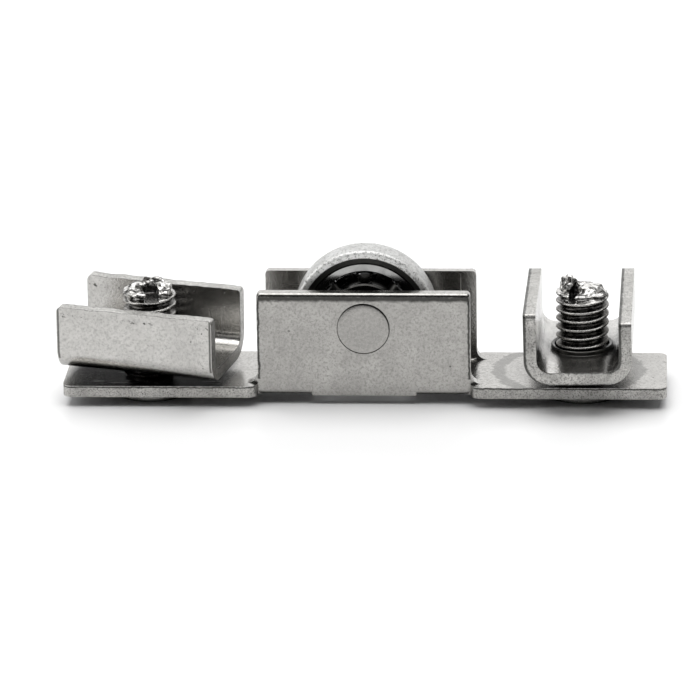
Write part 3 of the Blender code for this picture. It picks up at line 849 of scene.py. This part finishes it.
# ---------------------------------------------------------------- wheel and bearing

def make_wheel(metals):
    half = WHEEL_HALF_WIDTH
    bore = RACE_RADIUS + CLEAR
    seat = RACE_HALF_WIDTH + 0.05 * MM
    face = bore + 0.68 * MM
    edge = 0.4 * MM
    crown = 0.03 * MM
    side = [(bore, -seat), (bore + 0.08 * MM, -seat - 0.03 * MM), (face - 0.1 * MM, -half + 0.05 * MM)]
    side += arc((face + 0.02 * MM, -half + 0.12 * MM), 0.12 * MM, 200, 270, 3)
    side += arc((WHEEL_RADIUS - crown - edge, -half + edge), edge, -90, -4, 7)
    tread = [(WHEEL_RADIUS, -0.4 * half), (WHEEL_RADIUS, 0.4 * half)]
    points = side + tread + [(radius, -along) for radius, along in reversed(side)] + side[:1]
    tyre = turned("wheel_rim", points, 192)
    place(tyre, Matrix.Translation(AXLE))
    finish_piece(tyre, "wheel", ["wheel_tyre"], metals["tread"], 40)


def ball_track(shoulder, facing):
    """Profile of the groove that the balls run in, across a race. facing is 1 on the outer race."""
    radius = BALL_RADIUS + 0.03 * MM
    reach = math.degrees(math.acos(facing * (shoulder - BALL_CIRCLE) / radius))
    centre = 0 if facing > 0 else 180
    return arc((BALL_CIRCLE, 0), radius, centre - facing * reach, centre + facing * reach, 16)


def make_races(metals):
    half = RACE_HALF_WIDTH
    ease = 0.16 * MM
    outer_shoulder, inner_shoulder = 5.45 * MM, 4.05 * MM
    outer = [(outer_shoulder, -half + ease), (outer_shoulder + ease, -half),
             (RACE_RADIUS - ease, -half), (RACE_RADIUS, -half + ease), (RACE_RADIUS, half - ease),
             (RACE_RADIUS - ease, half)]
    outer += [(outer_shoulder + ease, half), (outer_shoulder, half - ease)]
    outer += list(reversed(ball_track(outer_shoulder, 1))) + outer[:1]
    race = turned("outer_race_ring", outer, 160)
    place(race, Matrix.Translation(AXLE))
    finish_piece(race, "wheel", ["bearing_outer_race"], metals["race"])

    bore = INNER_BORE
    inner = [(bore, half - ease), (bore, -half + ease), (bore + ease, -half),
             (inner_shoulder - ease, -half)]
    inner += [(inner_shoulder, -half + ease)] + ball_track(inner_shoulder, -1)
    inner += [(inner_shoulder, half - ease), (inner_shoulder - ease, half), (bore + ease, half)]
    inner += inner[:1]
    race = turned("inner_race_ring", inner, 128)
    place(race, Matrix.Translation(AXLE))
    # The inner race takes the cage's near-black painted shade.
    finish_piece(race, "frame", ["bearing_inner_race"], metals["cage"])


def make_spacers(metals):
    for name, side in (("front_spacer", -1), ("rear_spacer", 1)):
        start, end = RACE_HALF_WIDTH + 0.05 * MM, WALL_INSIDE - 0.05 * MM
        ease = 0.15 * MM
        inner, outer = INNER_BORE, 3.5 * MM
        points = [(inner, start), (outer - ease, start), (outer, start + ease), (outer, end - ease),
                  (outer - ease, end), (inner, end), (inner, start)]
        washer = turned(name + "_washer", [(radius, side * along) for radius, along in points], 96)
        place(washer, Matrix.Translation(AXLE))
        finish_piece(washer, "frame", [name], metals["race"])


def ball_angle(number):
    return 2 * math.pi * number / BALL_COUNT


def make_cage(metals):
    """Two pressed ribbons that close round the balls, with a rivet head between each pair."""
    inner, outer, ribbon = 4.32 * MM, 5.13 * MM, 0.12 * MM
    pocket = BALL_RADIUS + 0.04 * MM
    for name, side in (("front_cage_ribbon", -1), ("rear_cage_ribbon", 1)):
        bpy.ops.mesh.primitive_circle_add(vertices=BALL_COUNT * 24, radius=inner,
                                          rotation=(math.pi / 2, 0, 0))
        half = take_new(name + "_pressing")
        place(half, half.matrix_world.copy())
        half.matrix_world = Matrix.Identity(4)
        edit(half, "EDGE", everything)
        for step in range(1, 5):
            bpy.ops.mesh.extrude_edges_move()
            grown = inner + (outer - inner) * step / 4
            before = inner + (outer - inner) * (step - 1) / 4
            bpy.ops.transform.resize(value=(grown / before, 1, grown / before),
                                     center_override=(0, 0, 0))
        close_edit()
        for vert in half.data.vertices:
            angle = math.atan2(vert.co.x, vert.co.z)
            apart = min(abs((angle - ball_angle(number) + math.pi) % (2 * math.pi) - math.pi)
                        for number in range(BALL_COUNT))
            away = 2 * BALL_CIRCLE * math.sin(apart / 2)
            from_middle = math.hypot(vert.co.x, vert.co.z) - BALL_CIRCLE
            lift = math.sqrt(max(0.0, pocket ** 2 - away ** 2 - (0.5 * from_middle) ** 2))
            vert.co.y = side * max(0.03 * MM, lift)
        edit(half, "VERT", everything)
        bpy.ops.mesh.normals_make_consistent(inside=False)
        close_edit()
        outward = sum(face.normal.y for face in half.data.polygons) * side > 0
        use(half, "SOLIDIFY", thickness=ribbon, offset=1.0 if outward else -1.0)
        for number in range(BALL_COUNT):
            angle = ball_angle(number + 0.5)
            head = turned("rivet_head", [(0, 0.05 * MM), (0.28 * MM, 0.05 * MM), (0.27 * MM, 0.25 * MM),
                                         (0.16 * MM, 0.33 * MM), (0, 0.36 * MM)], 16)
            spot = (BALL_CIRCLE * math.sin(angle), 0, BALL_CIRCLE * math.cos(angle))
            place(head, Matrix.Translation(spot) @ Matrix.Diagonal((1, side, 1, 1)))
            tidy_shell(head)
            carve(half, head, "UNION")
        place(half, Matrix.Translation(AXLE))
        tidy_shell(half)
        finish_piece(half, "ball_set", [name], metals["cage"], 40)


def make_balls(metals):
    for number in range(BALL_COUNT):
        bpy.ops.mesh.primitive_cube_add(size=1.6 * BALL_RADIUS)
        ball = take_new(f"ball_{number + 1}_steel")
        use(ball, "SUBSURF", levels=4, render_levels=4)
        use(ball, "CAST", cast_type="SPHERE", factor=1.0, radius=BALL_RADIUS, use_radius_as_size=False,
            size=BALL_RADIUS)
        angle = ball_angle(number)
        place(ball, Matrix.Translation(AXLE + Vector((BALL_CIRCLE * math.sin(angle), 0,
                                                      BALL_CIRCLE * math.cos(angle)))))
        finish_piece(ball, "ball_set", [f"ball_{number + 1}"], metals["ball"])


# ---------------------------------------------------------------- screws

def threaded_shank(name, bottom, top):
    """A rolled right-hand thread, made by screwing a rounded profile up its axis."""
    crest, root = THREAD_RADIUS, THREAD_ROOT
    profile = [(root, 0.0), (root, 0.10), (root + 0.06 * MM, 0.17), (crest - 0.07 * MM, 0.40),
               (crest - 0.015 * MM, 0.45), (crest, 0.50), (crest - 0.015 * MM, 0.55),
               (crest - 0.07 * MM, 0.60), (root + 0.06 * MM, 0.83), (root, 0.90), (root, 1.0)]
    points = [Vector((radius, 0, bottom - PITCH + share * PITCH)) for radius, share in profile]
    bpy.ops.mesh.primitive_plane_add(size=MM)
    shank = take_new(name)
    place(shank, Matrix.Translation(points[0]))
    edit(shank, "VERT", everything)
    bpy.ops.mesh.merge(type="CENTER")
    for before, after in zip(points, points[1:]):
        bpy.ops.mesh.extrude_region_move(TRANSFORM_OT_translate={"value": after - before})
    close_edit()
    turns = math.ceil((top - bottom) / PITCH) + 2
    use(shank, "SCREW", axis="Z", angle=2 * math.pi, steps=64, render_steps=64, iterations=turns,
        screw_offset=PITCH)
    edit(shank, "VERT", everything)
    bpy.ops.mesh.remove_doubles(threshold=0.0005 * MM)
    close_edit()
    for level, upward in ((bottom, False), (top, True)):
        slice_at(shank, (0, 0, level), (0, 0, 1), use_fill=True, clear_outer=upward,
                 clear_inner=not upward)
    tidy_shell(shank)
    return shank


def burr_lump(centre, size, tilt):
    """A lump of mashed thread: a ball squeezed out of round and leaning outwards."""
    bpy.ops.mesh.primitive_ico_sphere_add(subdivisions=3, radius=1)
    lump = take_new("lump")
    edit(lump, "VERT", everything)
    bpy.ops.transform.vertex_random(offset=0.14, uniform=0.2, normal=0.6, seed=4)
    close_edit()
    place(lump, Matrix.Translation(Vector(centre) * MM) @ Matrix.Rotation(math.radians(tilt), 4, "Y")
          @ Matrix.Diagonal((*(value * MM for value in size), 1)))
    return lump


def chew(screw):
    """Crumple the staked end: rebuild it as one even mesh and push its skin in and out."""
    use(screw, "REMESH", mode="VOXEL", voxel_size=0.085 * MM, use_smooth_shade=True)
    group = screw.vertex_groups.new(name="torn")
    for vert in screw.data.vertices:
        share = min(1.0, max(0.0, (vert.co.z - TORN_FROM) / (0.9 * MM)))
        group.add([vert.index], share, "REPLACE")
    for size, strength in ((1.3 * MM, 0.65 * MM), (0.6 * MM, 0.16 * MM)):
        crumple = bpy.data.textures.new("crumple", "CLOUDS")
        crumple.noise_scale = size
        crumple.noise_depth = 1
        use(screw, "DISPLACE", texture=crumple, texture_coords="LOCAL", strength=strength,
            mid_level=0.5, direction="NORMAL", vertex_group="torn")
    use(screw, "SMOOTH", factor=0.5, iterations=5, vertex_group="torn")


def make_screw(name, side, body, end, metals):
    shank_top, slot_turn, lumps, (middle, width, bottom) = end
    screw = threaded_shank(name + "_steel", HEAD_HEIGHT - 0.4 * MM, shank_top * MM)
    ease = 0.28 * MM
    head = [(0, 0), (HEAD_RADIUS - ease, 0)]
    head += arc((HEAD_RADIUS - ease, ease), ease, -90, 0, 5)
    head += arc((HEAD_RADIUS - ease, HEAD_HEIGHT - ease), ease, 0, 90, 5)
    head += [(0, HEAD_HEIGHT)]
    carve(screw, turned("head", head, 96, "Z"), "UNION")
    for centre, size, tilt in lumps:
        carve(screw, burr_lump(centre, size, tilt), "UNION")
    slot = block("slot", ((middle - width / 2) * MM, -5 * MM, bottom * MM),
                 ((middle + width / 2) * MM, 0.9 * MM, SCREW_TOP + 3 * MM))
    place(slot, Matrix.Rotation(math.radians(slot_turn), 4, "Z"))
    carve(screw, slot)
    chew(screw)
    place(screw, Matrix.Translation((side * SCREW_X, 0, 0)))
    finish_piece(screw, body, [name], metals[body], 60)


# ---------------------------------------------------------------- clips

def make_clip(name, side, body, pose, metals):
    underside, degrees, offset, ears = pose
    clip = folded_sheet(name + "_pressing")
    seed = Vector((3.7 * side, 1.3, 8.1))
    for vert in clip.data.vertices:
        share = (vert.co.x / CLIP_HALF_LENGTH + 1) / 2
        ear = 2 if vert.co.y > 0 else 0
        height = (ears[ear] * (1 - share) + ears[ear + 1] * share) * MM
        if vert.co.z > CLIP_BLANK_HEIGHT - NEAR:
            burr = noise.noise(vert.co / (1.3 * MM) + seed)
            burr += 0.5 * noise.noise(vert.co / (0.5 * MM) + seed)
            vert.co.z = height + 0.11 * MM * burr
        vert.co.y += offset
    use(clip, "SOLIDIFY", thickness=CLIP_SHEET, offset=-1.0, use_even_offset=True)
    round_wall_corners(clip, 6 * MM, CLIP_HALF_LENGTH, 0.55 * MM)
    lip = [(CLIP_HOLE - 0.1 * MM, CLIP_SHEET / 2), (3.5 * MM, CLIP_SHEET / 2),
           (3.45 * MM, CLIP_SHEET + 0.2 * MM)]
    lip += arc((3.3 * MM, CLIP_SHEET + 0.36 * MM), 0.14 * MM, 0, 120, 4)
    lip += [(CLIP_HOLE - 0.1 * MM, CLIP_SHEET + 0.4 * MM), lip[0]]
    carve(clip, turned("lip", lip, 96, "Z"), "UNION")
    bpy.ops.mesh.primitive_cylinder_add(vertices=96, radius=CLIP_HOLE, depth=10 * MM)
    carve(clip, take_new("tap"))
    ease_edges(clip, 0.19 * MM)

    def is_sheared(face):
        end = abs(face.normal.x) > 0.95 and abs(face.center.x) > CLIP_HALF_LENGTH - 0.8 * MM
        crown = face.center.z > 6.6 * MM and abs(face.normal.y) < 0.3
        return end or crown

    shear_faces(clip, is_sheared, metals["clip"], metals["clip_end"])
    own = clip.data.attributes.new(OWN_PLACE, "FLOAT_VECTOR", "POINT")
    for vert, value in zip(clip.data.vertices, own.data):
        value.vector = vert.co / MM
    turn = Euler([math.radians(angle) for angle in degrees]).to_matrix().to_4x4()
    place(clip, Matrix.Translation((side * SCREW_X, 0, underside)) @ turn)
    finish_piece(clip, body, [name], metals["clip"])
    settle_shading(clip)


# ---------------------------------------------------------------- studio

def softbox(name, size, centre, target, radiance):
    """A rectangular lamp that faces a target. radiance is how bright its face looks."""
    lamp = bpy.data.lights.new(name, "AREA")
    lamp.shape = "RECTANGLE"
    lamp.size, lamp.size_y = size
    lamp.energy = radiance * math.pi * size[0] * size[1]
    thing = bpy.data.objects.new(name, lamp)
    bpy.context.scene.collection.objects.link(thing)
    thing.location = centre
    thing.rotation_euler = (Vector(target) - Vector(centre)).to_track_quat("-Z", "Y").to_euler()


def make_camera():
    azimuth, elevation, roll = math.radians(3.8), math.radians(19.0), math.radians(1.0)
    distance = 0.55
    target = Vector((-1.81, 0.0, 4.71)) * MM
    back = Vector((math.sin(azimuth) * math.cos(elevation),
                   -math.cos(azimuth) * math.cos(elevation), math.sin(elevation)))
    lens = bpy.data.cameras.new("camera")
    lens.lens = 254.5
    lens.sensor_width = 36
    lens.clip_start, lens.clip_end = 0.05, 10
    camera = bpy.data.objects.new("camera", lens)
    bpy.context.scene.collection.objects.link(camera)
    camera.location = target + back * distance
    facing = (-back).to_track_quat("-Z", "Y").to_matrix() @ Matrix.Rotation(-roll, 3, "Z")
    camera.rotation_euler = facing.to_euler()
    bpy.context.scene.camera = camera


def make_studio():
    scene = bpy.context.scene
    scene.view_settings.view_transform = "Standard"
    bpy.ops.mesh.primitive_plane_add(size=6, location=(0, 0, -0.02 * MM))
    floor = take_new("floor")
    material = bpy.data.materials.new("floor_white")
    material.use_nodes = True
    shader = material.node_tree.nodes["Principled BSDF"]
    shader.inputs["Base Color"].default_value = (0.9, 0.9, 0.9, 1)
    shader.inputs["Roughness"].default_value = 0.34
    shader.inputs["Specular IOR Level"].default_value = 0.22
    floor.data.materials.append(material)

    world = bpy.data.worlds.new("studio")
    scene.world = world
    world.use_nodes = True
    background = world.node_tree.nodes["Background"]
    background.inputs["Color"].default_value = (0.9, 0.9, 0.9, 1)
    background.inputs["Strength"].default_value = 0.08
    softbox("overhead_softbox", (1.3, 1.1), (0.0, 0.1, 0.9), (0, 0, 0), 2.7)
    softbox("rear_softbox", (2.8, 1.2), (0.0, 1.4, 0.62), (0, 0, 0.15), 1.28)
    softbox("left_softbox", (0.8, 0.8), (-1.1, -0.25, 0.5), (0, 0, 0), 2.6)
    softbox("right_softbox", (0.6, 0.6), (1.1, -0.1, 0.5), (0, 0, 0), 1.2)


def main():
    make_camera()
    metals = make_metals()
    make_bracket(metals)
    make_axle(metals)
    make_spacers(metals)
    make_wheel(metals)
    make_races(metals)
    make_cage(metals)
    make_balls(metals)
    make_screw("left_adjusting_screw", -1, "left_screw", LEFT_END, metals)
    make_screw("right_adjusting_screw", 1, "right_screw", RIGHT_END, metals)
    make_clip("left_saddle_clip", -1, "left_clip", LEFT_CLIP, metals)
    make_clip("right_saddle_clip", 1, "right_clip", RIGHT_CLIP, metals)
    make_studio()


main()
